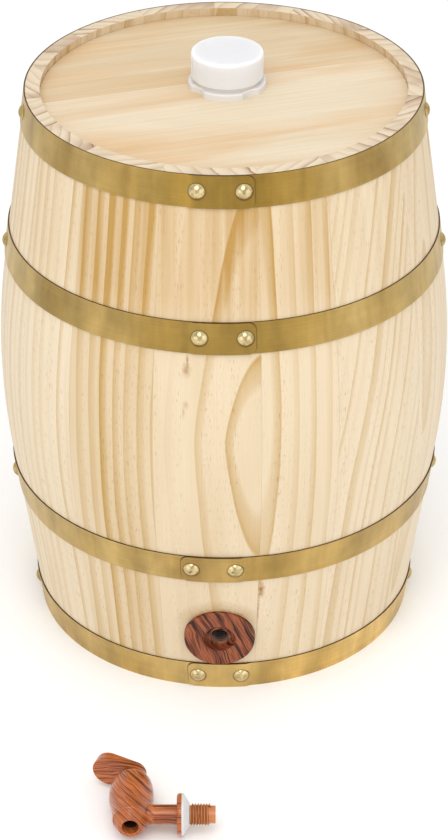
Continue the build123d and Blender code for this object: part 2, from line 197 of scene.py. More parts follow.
class Recipe:
    """Lays out the nodes of one material from short calls."""

    def __init__(self, name, roughness, metallic=0.0, **sockets):
        self.material = bpy.data.materials.new(name)
        self.material.use_nodes = True
        self.tree = self.material.node_tree
        self.shader = self.tree.nodes["Principled BSDF"]
        self.shader.inputs["Roughness"].default_value = roughness
        self.shader.inputs["Metallic"].default_value = metallic
        for socket, value in sockets.items():
            label = socket.replace("_", " ").title().replace("Ior", "IOR")
            self.shader.inputs[label].default_value = value
        self.place = self.node("ShaderNodeTexCoord").outputs["Object"]

    def node(self, kind, **settings):
        node = self.tree.nodes.new(kind)
        for key, value in settings.items():
            setattr(node, key, value)
        return node

    def feed(self, socket, value):
        """Links a socket to another one, or sets it to a number, vector or colour."""
        if isinstance(value, bpy.types.NodeSocket):
            self.tree.links.new(value, socket)
        elif socket.type == "RGBA":
            socket.default_value = (*value, 1)
        else:
            socket.default_value = value

    def math(self, operation, first, second=0.0, clamp=False):
        node = self.node("ShaderNodeMath", operation=operation, use_clamp=clamp)
        self.feed(node.inputs[0], first)
        self.feed(node.inputs[1], second)
        return node.outputs[0]

    def add(self, first, second, clamp=False):
        return self.math("ADD", first, second, clamp)

    def minus(self, first, second):
        return self.math("SUBTRACT", first, second)

    def times(self, first, second):
        return self.math("MULTIPLY", first, second)

    def over(self, first, second):
        return self.math("DIVIDE", first, second)

    def root_of_squares(self, *values):
        total = self.times(values[0], values[0])
        for value in values[1:]:
            total = self.add(total, self.times(value, value))
        return self.math("SQRT", total)

    def soft_size(self, value, rounding):
        """Size of a number without its sign, rounded off where it turns at zero."""
        return self.math("SQRT", self.add(self.times(value, value), rounding))

    def vectors(self, operation, first, second):
        """Vector from two vectors, or the number that a distance or dot product gives."""
        node = self.node("ShaderNodeVectorMath", operation=operation)
        self.feed(node.inputs[0], first)
        self.feed(node.inputs[1], second)
        return node.outputs["Value" if operation in ("DISTANCE", "DOT_PRODUCT") else "Vector"]

    def axes(self, vector):
        node = self.node("ShaderNodeSeparateXYZ")
        self.feed(node.inputs[0], vector)
        return node.outputs

    def vector(self, x, y, z=0.0):
        node = self.node("ShaderNodeCombineXYZ")
        for socket, value in zip(node.inputs, (x, y, z)):
            self.feed(socket, value)
        return node.outputs[0]

    def mapped(self, vector, turn=(0, 0, 0), scale=(1, 1, 1), shift=(0, 0, 0)):
        node = self.node("ShaderNodeMapping")
        self.feed(node.inputs["Vector"], vector)
        node.inputs["Rotation"].default_value = turn
        node.inputs["Scale"].default_value = scale
        node.inputs["Location"].default_value = shift
        return node.outputs[0]

    def noise(self, vector, scale=1.0, detail=2.0, rough=0.5, swirl=0.0):
        node = self.node("ShaderNodeTexNoise")
        self.feed(node.inputs["Vector"], vector)
        node.inputs["Scale"].default_value = scale
        node.inputs["Detail"].default_value = detail
        node.inputs["Roughness"].default_value = rough
        node.inputs["Distortion"].default_value = swirl
        return node.outputs["Fac"]

    def figure(self, across, along, repeats, seed, *noise):
        """Noise of a board, from its repeats per metre across and along the grain."""
        wide, long = repeats
        place = self.vector(self.times(across, wide), self.times(along, long), seed)
        return self.noise(place, 1, *noise)

    def chance(self, value):
        """Random number from 0 to 1 that is the same for the same value."""
        node = self.node("ShaderNodeTexWhiteNoise", noise_dimensions="1D")
        self.feed(node.inputs["W"], value)
        return node.outputs["Value"]

    def ramp(self, value, *stops):
        """Number or colour that follows value through the given (place, height) stops."""
        node = self.node("ShaderNodeValToRGB")
        self.feed(node.inputs[0], value)
        elements = node.color_ramp.elements
        while len(elements) < len(stops):
            elements.new(0.5)
        for element, (place, height) in zip(elements, stops):
            element.position = place
            shade = height if hasattr(height, "__len__") else (height, height, height)
            element.color = (*shade, 1)
        return node.outputs[0]

    def mix(self, share, first, second, kind="MIX"):
        node = self.node("ShaderNodeMix", data_type="RGBA", blend_type=kind)
        self.feed(node.inputs[0], share)
        self.feed(node.inputs[6], first)
        self.feed(node.inputs[7], second)
        return node.outputs[2]

    def shade(self, base, tint, share=1):
        """Colour multiplied by a number or another colour."""
        return self.mix(share, base, tint, "MULTIPLY")

    def facing(self):
        """The three parts of the surface's normal."""
        return self.axes(self.node("ShaderNodeNewGeometry").outputs["Normal"])

    def finish(self, base, height, depth, roughness=None):
        """Joins colour, relief and gloss to the shader and hands back the material."""
        self.feed(self.shader.inputs["Base Color"], base)
        if roughness is not None:
            self.feed(self.shader.inputs["Roughness"], roughness)
        bump = self.node("ShaderNodeBump")
        bump.inputs["Strength"].default_value = 1
        bump.inputs["Distance"].default_value = depth
        self.feed(bump.inputs["Height"], height)
        self.tree.links.new(bump.outputs["Normal"], self.shader.inputs["Normal"])
        return self.material


def dress(node, material):
    """Gives a CAD node's object one finish."""
    NODES[node].data.materials.clear()
    NODES[node].data.materials.append(material)


# Growth lines of one board, in metres: they lie about a heart line at centre, spread above and below
# a height by the two flares, start and repeat at ring, more or less evenly, and shade off over the
# soft share of a ring. The rest is darkness of the lines, tan of the ground, amber of the upper end,
# strength of the clouds, wander of the lines, strength of the flecks, a seed and how far the lines
# lean above that height
Grain = namedtuple(
    "Grain",
    "centre height above below start ring soft uneven dark tone high cloud wander fleck seed slant",
    defaults=(0,),
)
# Repeats per metre of a board's figure, across and along the grain
LINE_DRIFT = (22, 7)
CLOUDS = (45, 5)
AMBER_STREAKS = (150, 4)
FLECK_BANDS = (170, 3)
BROAD_STREAKS = (27, 5)
FINE_STREAKS = (420, 7)
FIBRE_RUN = 22
# Heights between which a stave turns to its amber upper end, in metres
UPPER_END = (0.222, 0.262)
# How far the bend at which the lines lean and the tips of their arches are rounded off
LEAN_ROUNDING = 0.0009
TIP_ROUNDING = 4e-9
# Relief of the fibres, in metres
STAVE_RELIEF = 0.00006
HEAD_RELIEF = 0.00005


def growth_lines(recipe, across, along, grain):
    """How dark a board's growth lines are, from metres across and along its grain."""
    up = recipe.minus(along, grain.height)
    lift = recipe.add(up, recipe.soft_size(up, LEAN_ROUNDING))
    spread = recipe.minus(recipe.add(across, recipe.times(lift, -grain.slant / 2)), grain.centre)
    bend = recipe.soft_size(recipe.times(up, (grain.above + grain.below) / 2), TIP_ROUNDING)
    flare = recipe.add(recipe.times(up, (grain.above - grain.below) / 2), bend)
    heart = recipe.soft_size(spread, flare)
    drift = recipe.figure(across, along, LINE_DRIFT, grain.seed, 3)
    drift = recipe.times(recipe.minus(drift, 0.5), grain.wander)
    phase = recipe.over(recipe.minus(recipe.add(heart, drift), grain.start), grain.ring)
    uneven = recipe.noise(recipe.vector(recipe.times(phase, 0.55), grain.seed), 1, 1)
    phase = recipe.add(phase, recipe.times(recipe.minus(uneven, 0.5), grain.uneven))
    line = recipe.math("FLOOR", phase)
    late = recipe.ramp(
        recipe.minus(phase, line),
        (0, 0),
        (1 - grain.soft, 0.03),
        (1 - grain.soft * 0.75, 0.42),
        (1 - grain.soft * 0.3, 0.72),
        (1 - grain.soft * 0.1, 1),
        (1, 0),
    )
    late = recipe.times(late, recipe.math("GREATER_THAN", phase, -1.0))
    weight = recipe.ramp(recipe.chance(recipe.add(line, grain.seed)), (0, 0.12), (1, 0.75))
    weight = recipe.math("MAXIMUM", weight, recipe.math("LESS_THAN", phase, 0.0))
    return recipe.times(recipe.times(late, weight), grain.dark)


def pine(recipe, across, along, grain, wood):
    """Colour and relief of a pine board, from metres across and along its grain."""
    upper = recipe.ramp(along, (UPPER_END[0], 0), (UPPER_END[1], grain.high))
    late = recipe.times(growth_lines(recipe, across, along, grain), recipe.add(upper, 1.0))
    cloud = recipe.minus(recipe.figure(across, along, CLOUDS, grain.seed + 3, 2), 0.5)
    tone = recipe.add(recipe.times(cloud, grain.cloud), grain.tone)
    streak = recipe.figure(across, along, AMBER_STREAKS, grain.seed + 7, 2)
    streak = recipe.times(recipe.ramp(streak, (0.42, 0), (0.66, 0.55)), upper)
    share = recipe.add(recipe.add(late, streak), tone, clamp=True)
    ground = recipe.mix(share, wood.cream, wood.tan)
    ground = recipe.shade(ground, wood.amber, recipe.times(upper, 0.6))
    strand = recipe.over(across, wood.fibre_width)
    fibre = recipe.vector(strand, recipe.times(along, FIBRE_RUN), grain.seed)
    fibre = recipe.noise(fibre, 1, 3, 0.6)
    ground = recipe.shade(ground, recipe.ramp(fibre, (0.25, 0.8), (0.7, 1)), 0.4)
    fleck = recipe.vector(strand, recipe.over(along, wood.fleck_length), grain.seed + 9)
    fleck = recipe.ramp(recipe.noise(fleck), (0.6, 0), (0.68, grain.fleck))
    bands = recipe.figure(across, along, FLECK_BANDS, grain.seed + 5, 1)
    fleck = recipe.times(fleck, recipe.ramp(bands, (0.4, 0.1), (0.62, 1)))
    return recipe.mix(fleck, ground, wood.fleck), fibre


STAVE_COUNT = sum(name.startswith("stave_") for name in NODES)
FRONT_STAVE = 1
# Growth lines of the staves that face the camera, by number; the others take theirs from a formula
STAVE_GRAINS = {
    1: Grain(
        0.0298, 0.1795, 0.009, 0.0053, 0.0213, 0.0165, 0.3, 0, 0.66, 0.2, 0.85, 0.6, 0.004, 0.45, 3
    ),
    2: Grain(
        -0.0224, 0.185, 0.0006, 0.0015, 0.0136, 0.0095, 0.42, 0, 0.62, 0.13, 0.48, 0.5, 0.003, 0.45, 5
    ),
    3: Grain(
        0.05, 0.14, 0.0006, 0.0012, 0, 0.007, 0.45, 1.6, 0.75, 0.08, 0.15, 0.6, 0.003, 0.45, 7, 0.26
    ),
    4: Grain(
        -0.019, 0.19, 0.0014, 0.0016, 0.004, 0.0062, 0.4, 0.8, 0.55, 0.04, 0.15, 0.5, 0.003, 0.4, 2, 0.16
    ),
    13: Grain(0.09, 0.14, 0, 0, 0, 0.0075, 0.55, 1.2, 0.65, -0.02, 0.2, 0.5, 0.003, 0.45, 4),
    14: Grain(0.1, 0.17, 0, 0, 0, 0.0075, 0.55, 1.4, 0.85, 0.02, 0.35, 0.5, 0.003, 0.45, 8),
    15: Grain(0.15, 0.15, 0, 0, 0, 0.0078, 0.65, 0.9, 1.3, 0.32, 0.62, 0.7, 0.003, 0.45, 6),
}
# Knots and resin pockets of a stave: across, along, half width, half height and strength
STAVE_MARKS = {
    1: (
        (-0.0110, 0.2205, 0.0030, 0.0060, 0.65),
        (-0.0106, 0.2256, 0.0010, 0.0062, 0.75),
        (-0.0123, 0.2236, 0.0009, 0.0042, 0.35),
        (-0.0113, 0.1999, 0.0020, 0.0036, 0.45),
        (-0.0126, 0.1955, 0.0010, 0.0050, 0.4),
    ),
    2: ((-0.0193, 0.0730, 0.0026, 0.0085, 1.0), (-0.0206, 0.0560, 0.0014, 0.0220, 0.8)),
}
# Soaked wood above the socket, in metres: its reach and the raggedness of its border, and how fast
# it comes in with height, per metre
STAIN_REACH = 0.009
STAIN_RAGGED = 0.004
STAIN_RISE = 60
# Repeats per metre of the ragged borders of the soaked wood and of the knots
STAIN_BORDER = 500
KNOT_BORDER = 350
# Growth lines on the sawn ends, in metres: narrowest spacing, what is added to it and their sway,
# and the most that they slant
END_RING = 0.0075
END_RING_SPAN = 0.003
END_SWAY = 0.006
END_SLANT = 1.5
# Repeats per metre of that sway and of the dark patches of the sawn ends
END_SWAYS = 90
END_PATCHES = 30
# Height within which a point lies in a stave's lower end, in metres
FLAT = 0.0001


def stave_grain(number):
    """Growth lines of one stave."""
    swing = math.sin(number * 2.4)
    falls = number % 2
    flare = 0.0012 + 0.003 * swing**2
    spare = Grain(
        centre=0.045 * swing,
        height=0.4 if falls else -0.06,
        above=0 if falls else flare,
        below=flare if falls else 0,
        start=0,
        ring=0.008,
        soft=0.45,
        uneven=1.2,
        dark=0.75,
        tone=0.08 + 0.06 * swing,
        high=0.3,
        cloud=0.5,
        wander=0.004,
        fleck=0.6,
        seed=number,
    )
    return STAVE_GRAINS.get(number, spare)


def stain(recipe, base, wood):
    """Darkens the wood above the tap socket, where drips have soaked in."""
    mount = MOUNTS["socket_thread"]
    off = recipe.vectors("SUBTRACT", recipe.place, mount["pos_m"])
    along = recipe.vectors("PROJECT", off, mount["axis"])
    x, y, z = recipe.axes(recipe.vectors("SUBTRACT", off, along))
    reach = recipe.root_of_squares(x, y, z)
    low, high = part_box("tap_socket")
    edge = (high[0] - low[0]) / 2
    ragged = recipe.minus(recipe.noise(recipe.place, STAIN_BORDER, 2), 0.5)
    ragged = recipe.times(ragged, STAIN_RAGGED)
    away = recipe.over(recipe.add(recipe.minus(reach, edge), ragged), STAIN_REACH)
    above = recipe.ramp(recipe.times(z, STAIN_RISE), (0.35, 0), (1, 1))
    soaked = recipe.times(recipe.ramp(away, (0, 0.8), (0.3, 0.35), (1, 0)), above)
    return recipe.mix(soaked, base, wood.knot)


def mark(recipe, base, across, along, spot, wood):
    """Lays one knot or resin pocket on a stave."""
    mark_across, mark_along, wide, tall, strength = spot
    ragged = recipe.minus(recipe.noise(recipe.place, KNOT_BORDER, 2), 0.5)
    reach = recipe.root_of_squares(
        recipe.over(recipe.minus(across, mark_across), wide),
        recipe.over(recipe.minus(along, mark_along), tall),
    )
    knot = recipe.ramp(recipe.add(reach, ragged), (0.1, strength), (0.45, strength * 0.45), (1, 0))
    return recipe.mix(knot, base, wood.knot)


def end_grain(recipe, node, number, across, radius, wood):
    """Colour of a stave's sawn ends: dark patches, and growth lines that slant across the wall."""
    spots = [vertex.co for vertex in NODES[node].data.vertices]
    lowest = min(spot.z for spot in spots)
    foot = max(math.hypot(spot.x, spot.y) for spot in spots if spot.z < lowest + FLAT)
    slant = END_SLANT * math.sin(number * 1.9 + 0.8)
    ring = END_RING + END_RING_SPAN * math.sin(number * 4.1) ** 2
    own = recipe.mapped(recipe.place, shift=(number, 0, 0))
    inwards = recipe.times(recipe.minus(foot, radius), slant)
    sway = recipe.times(recipe.noise(own, END_SWAYS, 2), END_SWAY)
    phase = recipe.over(recipe.add(recipe.add(across, inwards), sway), ring)
    stops = ((0, 0), (0.35, 0.05), (0.68, 0.35), (0.9, 1), (1, 0))
    line = recipe.ramp(recipe.math("FRACT", phase), *stops)
    weight = recipe.ramp(recipe.chance(recipe.math("FLOOR", phase)), (0, 0.2), (1, 1))
    patch = recipe.ramp(recipe.noise(own, END_PATCHES, 2), (0.5, 0.03), (0.68, 0.5))
    ground = recipe.mix(patch, wood.cream, wood.end_line)
    return recipe.mix(recipe.times(line, weight), ground, wood.end_line)


def stave_edges(node):
    """Angles of a stave's two edges about the barrel's axis, in radians from the front."""
    turns = [math.atan2(v.co.x, -v.co.y) for v in NODES[node].data.vertices]
    if max(turns) - min(turns) > math.pi:
        turns = [turn % math.tau for turn in turns]
    return min(turns), max(turns)


def stave_pine(node, number, wood):
    """Pine with the grain along the stave, its sawn ends and a shaded seam at its edges."""
    left, right = stave_edges(node)
    recipe = Recipe(node + "_pine", 0.55, specular_ior_level=0.3)
    x, y, z = recipe.axes(recipe.mapped(recipe.place, turn=(0, 0, -(left + right) / 2)))
    radius = recipe.root_of_squares(x, y)
    turn = recipe.math("ARCTAN2", x, recipe.times(y, -1))
    across = recipe.times(turn, radius)
    side, fibre = pine(recipe, across, z, stave_grain(number), wood)
    for spot in STAVE_MARKS.get(number, ()):
        side = mark(recipe, side, across, z, spot, wood)
    if number == FRONT_STAVE:
        side = stain(recipe, side, wood)
    sawn = recipe.ramp(recipe.math("ABSOLUTE", recipe.facing()[2]), (0.75, 0), (0.85, 1))
    base = recipe.mix(sawn, side, end_grain(recipe, node, number, across, radius, wood))
    gap = recipe.times(recipe.minus((right - left) / 2, recipe.math("ABSOLUTE", turn)), radius)
    seam = recipe.ramp(recipe.over(gap, wood.seam_width), (0, 0.86), (1, 1))
    return recipe.finish(recipe.shade(base, seam), fibre, STAVE_RELIEF)


# Growth lines of the heads' boards, front board first, and the turn of each head's grain in degrees
HEAD_GRAINS = {
    "front": Grain(-0.06, -0.2, 0.004, 0, 0, 0.006, 0.6, 1, 0.14, 0.06, 0, 0.8, 0.006, 0.1, 1),
    "middle": Grain(-0.02, -0.2, 0.004, 0, 0, 0.007, 0.6, 1, 0.14, -0.12, 0, 0.6, 0.008, 0.1, 4),
    "back": Grain(0.055, -0.2, 0.004, 0, 0, 0.008, 0.6, 1, 0.14, 0.27, 0, 0.8, 0.008, 0.1, 2),
}
HEAD_TURNS = {"top": 17, "bottom": -25}


def head_pine(node, grain, turn, wood):
    """Pine with the grain along a head's boards, with broad soft streaks and fine ones."""
    recipe = Recipe(node + "_pine", 0.5, specular_ior_level=0.3)
    along, across, _ = recipe.axes(recipe.mapped(recipe.place, turn=(0, 0, -turn)))
    base, fibre = pine(recipe, across, along, grain, wood)
    broad = recipe.figure(across, along, BROAD_STREAKS, grain.seed, 3, 0.5, 0.5)
    base = recipe.mix(recipe.ramp(broad, (0.44, 0), (0.66, 0.58)), base, wood.honey)
    fine = recipe.figure(across, along, FINE_STREAKS, grain.seed + 2, 3, 0.6)
    base = recipe.shade(base, recipe.ramp(fine, (0.35, 1.07), (0.7, 0.98)))
    return recipe.finish(base, fibre, HEAD_RELIEF)


# Patina of a hoop's front, the side on which its outer end shows, 1 for right and -1 for left, and the
# painted light left and right of the front: how much brighter or darker the strip is painted there
Hoop = namedtuple("Hoop", "patina side left right")
HOOPS = {
    "top_rim_hoop": Hoop(0.9, 1, 0.82, 0.79),
    "top_quarter_hoop": Hoop(0.75, 1, 0.79, 0.89),
    "bottom_quarter_hoop": Hoop(0.1, -1, 0.88, 0.96),
    "bottom_rim_hoop": Hoop(0.0, -1, 0.97, 1.24),
}
# How far the outer end of a strip stands off the strip under it, at the least, in metres
LAP_STEP = 0.0004
# Repeats per metre of the brushing along a hoop, and of the smudges, the blotches and the haze
BRUSH_RUN = 9
SMUDGES = 22
BLOTCHES = 60
HAZE = 400
# Bands of painted sheen, lighter and darker reflections, per radian round a hoop
PAINTED_SHEEN_BANDS = 7
# Relief of the brushing, the haze and a moulded skin, in metres
BRUSH_RELIEF = 0.00003
HAZE_RELIEF = 0.00002
SKIN_RELIEF = 0.00003


def lap_end(node, side):
    """Angle at which a hoop's outer end lies on the strip, in radians from the front."""
    spots = [vertex.co for vertex in NODES[node].data.vertices]
    reach = {}
    for spot in spots:
        if spot.y > 0:
            level = round(spot.z, 4)
            reach[level] = max(reach.get(level, 0), math.hypot(spot.x, spot.y))
    levels = sorted(reach)
    slope = (reach[levels[-1]] - reach[levels[0]]) / (levels[-1] - levels[0])
    laid = []
    for spot in spots:
        strip = reach[levels[0]] + slope * (spot.z - levels[0])
        if math.hypot(spot.x, spot.y) > strip + LAP_STEP:
            laid.append(math.atan2(spot.x, -spot.y))
    return max(laid) if side > 0 else min(laid)


def studs(node, brass):
    """Middles of the flats under the heads of a node's rivets or nails."""
    groups = []
    for vertex in NODES[node].data.vertices:
        for group in groups:
            if (vertex.co - group[0]).length < 4 * brass.head_radius:
                group.append(vertex.co)
                break
        else:
            groups.append([vertex.co])
    places = []
    for group in groups:
        middle = sum(group, Vector()) / len(group)
        rise = math.copysign(math.tan(brass.lean), middle.z - CAD_BOX[1][2] / 2)
        out = Vector((middle.x, middle.y, rise * math.hypot(middle.x, middle.y))).normalized()
        top = max((co - middle).dot(out) for co in group)
        places.append(middle + out * (top - brass.head_height))
    return places


def rivet_contact_shadows(recipe, fasteners, brass):
    """How dark the painted contact shadow is on the strip round the feet of its rivets and nails."""
    nearest = 1.0
    for place in fasteners:
        gap = recipe.vectors("DISTANCE", recipe.place, place)
        nearest = recipe.math("MINIMUM", gap, nearest)
    ring = recipe.over(recipe.minus(nearest, brass.head_radius), brass.head_radius)
    return recipe.ramp(recipe.add(ring, 0.1), (0, 0.9), (0.12, 0.8), (0.3, 0))


def lap_step_shadow(recipe, node, side, turn, radius, brass):
    """How dark the painted shadow is on the strip just past its outer end, which has rounded corners."""
    z = recipe.axes(recipe.place)[2]
    low, high = (corner[2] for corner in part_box(node))
    inside = recipe.math("MINIMUM", recipe.minus(z, low), recipe.minus(high, z))
    short = recipe.math("MAXIMUM", recipe.minus(brass.lap_corner, inside), 0.0)
    arc = recipe.minus(brass.lap_corner**2, recipe.times(short, short))
    arc = recipe.math("SQRT", recipe.math("MAXIMUM", arc, 0.0))
    past = recipe.times(recipe.times(recipe.minus(turn, lap_end(node, side)), side), radius)
    past = recipe.add(past, recipe.minus(brass.lap_corner, arc))
    stops = ((0, 0), (0.05, 0.75), (0.5, 0.5), (1, 0))
    return recipe.ramp(recipe.over(past, brass.lap_shade), *stops)


def hoop_brass(node, hoop, fasteners, brass):
    """Brass strip brushed round the barrel and dull in places, with painted light and shade: brighter
    and darker sides, bands of painted sheen, and painted shade on its edge faces, round its rivets and
    past its outer end.
    """
    recipe = Recipe(node + "_brass", 0.36, 1.0)
    x, y, _ = recipe.axes(recipe.place)
    ahead = recipe.times(y, -1)
    radius = recipe.root_of_squares(x, y)
    turn = recipe.math("ARCTAN2", x, ahead)
    smudge = recipe.noise(recipe.mapped(recipe.place, scale=(1, 1, 0.3)), SMUDGES, 3)
    strip = recipe.mix(recipe.ramp(smudge, (0.38, 0), (0.66, 1)), brass.hoop, brass.hoop_dull)
    # Painted light: the strip is painted brighter and darker towards its left and right sides
    painted_side_light = recipe.over(recipe.times(x, ahead), recipe.times(radius, radius))
    painted_side_light = recipe.ramp(recipe.add(painted_side_light, 0.5), (0, hoop.left), (0.5, 1), (1, hoop.right))
    strip = recipe.shade(strip, painted_side_light)
    front = recipe.ramp(recipe.over(ahead, radius), (0.82, 0), (0.98, hoop.patina))
    strip = recipe.mix(front, strip, brass.patina)
    # Painted sheen: lighter and darker bands of reflection round the strip
    painted_sheen = recipe.vector(recipe.times(turn, PAINTED_SHEEN_BANDS), len(node))
    painted_sheen = recipe.noise(painted_sheen, 1, 3, 0.6)
    strip = recipe.shade(strip, recipe.ramp(painted_sheen, (0.32, 0.83), (0.68, 1.15)))
    blotch = recipe.noise(recipe.mapped(recipe.place, scale=(1, 1, 0.6)), BLOTCHES, 3, 0.6)
    strip = recipe.shade(strip, recipe.ramp(blotch, (0.32, 0.84), (0.68, 1.14)))
    brush = recipe.mapped(recipe.place, scale=(BRUSH_RUN, BRUSH_RUN, 1 / brass.brush_width))
    brush = recipe.noise(brush, 1, 2, 0.6)
    strip = recipe.shade(strip, recipe.ramp(brush, (0.3, 0.68), (0.7, 1.05)), 0.5)
    # Painted contact shadow round the rivets and nails
    strip = recipe.mix(rivet_contact_shadows(recipe, fasteners, brass), strip, brass.edge)
    # Painted shadow just past the strip's outer end
    lap_shadow = lap_step_shadow(recipe, node, hoop.side, turn, radius, brass)
    strip = recipe.mix(lap_shadow, strip, brass.edge)
    # Painted shade on the strip's top and bottom edge faces
    normal = recipe.facing()
    faces = recipe.add(recipe.times(normal[0], x), recipe.times(normal[1], y))
    faces = recipe.math("ABSOLUTE", recipe.over(faces, radius))
    base = recipe.mix(recipe.ramp(faces, (0.5, 1), (0.8, 0)), strip, brass.edge)
    gloss = recipe.ramp(brush, (0.3, 0.32), (0.7, 0.46))
    return recipe.finish(base, brush, BRUSH_RELIEF, gloss)


def polished_brass(name, shade):
    """Polished brass with a little handling haze and tarnish."""
    recipe = Recipe(name, 0.16, 1.0)
    haze = recipe.noise(recipe.place, HAZE, 3)
    base = recipe.shade(shade, recipe.ramp(haze, (0.36, 0.72), (0.62, 1.12)))
    return recipe.finish(base, haze, HAZE_RELIEF, recipe.ramp(haze, (0.3, 0.12), (0.7, 0.24)))


def moulded(name, shade, roughness, grain, **sockets):
    """Plain moulded plastic, rubber or metal with a fine matt skin of grain repeats per metre."""
    recipe = Recipe(name, roughness, **sockets)
    skin = recipe.noise(recipe.place, grain, 2)
    darker = tuple(part * 0.8 for part in shade)
    tone = recipe.mix(recipe.ramp(skin, (0.3, 0), (0.7, 0.08)), shade, darker)
    gloss = recipe.ramp(skin, (0.3, roughness - 0.05), (0.7, roughness + 0.05))
    return recipe.finish(tone, skin, SKIN_RELIEF, gloss)


# One run of a wood print's streaks: how it is turned, the spacing of its streaks in metres, their
# wander and the X at which it takes over from the run before it
Run = namedtuple("Run", "turn spacing wander start", defaults=(0,))
# A bore's painted shading: its middle, axis, radius, how far its mouth lies from the middle, the painted
# shadow deep inside it and the painted light near its mouth
BoreShading = namedtuple("BoreShading", "middle axis reach mouth deep_shade mouth_shade")
# A thread's grooves: Y and Z of its axis, radii of its roots and crests and the painted shade of the
# roots
Groove = namedtuple("Groove", "axis root crest shade")
# How far the print's layers tilt, repeats per metre of their drift and, along a run, of the bands
# and fine lines
LAYER_TILT = 0.7
LAYER_DRIFT = (30, 70, 70)
BANDS_RUN = 14
FINE_RUN = 45
# How soon the next run or the bare plastic takes over, per metre
RUN_CHANGE = 400
BARE_CHANGE = 1000
# Relief of the print, in metres
PRINT_RELIEF = 0.00002


def streaks(recipe, run, seed):
    """Streaks, uneven in width and strength, that run along the X axis of the turned piece."""
    local = recipe.mapped(recipe.place, turn=run.turn, shift=(seed, 0, 0))
    x, y, z = recipe.axes(local)
    layer = recipe.over(recipe.add(y, recipe.times(z, LAYER_TILT)), run.spacing)
    drift = recipe.noise(recipe.mapped(local, scale=LAYER_DRIFT), 1, 2)
    layer = recipe.add(layer, recipe.times(drift, run.wander))
    bands = recipe.noise(recipe.vector(recipe.times(x, BANDS_RUN), layer, seed), 1, 2)
    fine = recipe.vector(recipe.times(x, FINE_RUN), recipe.times(layer, 4), seed + 5)
    fine = recipe.noise(fine, 1, 3, 0.6)
    both = recipe.add(recipe.times(bands, 0.5), recipe.times(fine, 0.5))
    return recipe.ramp(both, (0.37, 0), (0.63, 1))


def bore_shade(recipe, base, bore_shading):
    """Paints shade inside a bore, darker with depth, with painted light near its mouth."""
    off = recipe.vectors("SUBTRACT", recipe.place, bore_shading.middle)
    around = recipe.axes(recipe.vectors("CROSS_PRODUCT", off, bore_shading.axis))
    bore = recipe.over(recipe.root_of_squares(*around), bore_shading.reach)
    outwards = recipe.vectors("DOT_PRODUCT", off, bore_shading.axis)
    depth = recipe.over(recipe.minus(bore_shading.mouth, outwards), bore_shading.reach)
    shade = recipe.mix(recipe.ramp(depth, (0.3, 0), (1, 1)), bore_shading.mouth_shade, bore_shading.deep_shade)
    return recipe.mix(recipe.ramp(bore, (0.98, 0.95), (1.04, 0)), base, shade)


def paint_groove_shadow(recipe, base, groove_shadow):
    """Paints shade into the roots of a thread, darkening them."""
    _, y, z = recipe.axes(recipe.place)
    radius = recipe.root_of_squares(recipe.minus(y, groove_shadow.axis[0]), recipe.minus(z, groove_shadow.axis[1]))
    depth = recipe.over(recipe.minus(radius, groove_shadow.root), groove_shadow.crest - groove_shadow.root)
    return recipe.mix(recipe.ramp(depth, (0.5, 0.95), (0.95, 0)), base, groove_shadow.shade)


def wood_print(name, stops, runs, coat=0.55, groove_shadow=None, bare=None, bore_shading=None):
    """Dark wood printed on plastic under lacquer. Bare is where X leaves the print, and its shade."""
    recipe = Recipe(name, 0.34, coat_weight=coat, coat_roughness=0.1, specular_ior_level=0.2)
    x = recipe.axes(recipe.place)[0]
    grain = streaks(recipe, runs[0], 0)
    for seed, run in enumerate(runs[1:], 1):
        change = recipe.times(recipe.minus(x, run.start), RUN_CHANGE)
        grain = recipe.mix(recipe.ramp(change, (0, 0), (1, 1)), grain, streaks(recipe, run, seed))
    base = recipe.ramp(grain, *stops)
    if bare:
        start, shade = bare
        change = recipe.times(recipe.minus(x, start), BARE_CHANGE)
        base = recipe.mix(recipe.ramp(change, (0, 0), (1, 0.75)), base, shade)
    # Painted shadow and light inside a bore
    if bore_shading:
        base = bore_shade(recipe, base, bore_shading)
    # Painted shade in the roots of a thread
    if groove_shadow:
        base = paint_groove_shadow(recipe, base, groove_shadow)
    return recipe.finish(base, grain, PRINT_RELIEF)


# A thread ridge: width of its crest as a share of its foot, width of its foot as a share of the
# pitch, how far it bites into what carries it and what counts as one point, in metres, and the
# sharpest edge that is shaded smooth, in degrees
RIDGE_CREST = 0.3
RIDGE_FOOT = 0.88
RIDGE_BITE = 0.0001
RIDGE_WELD = 1e-6
RIDGE_SMOOTH = 35


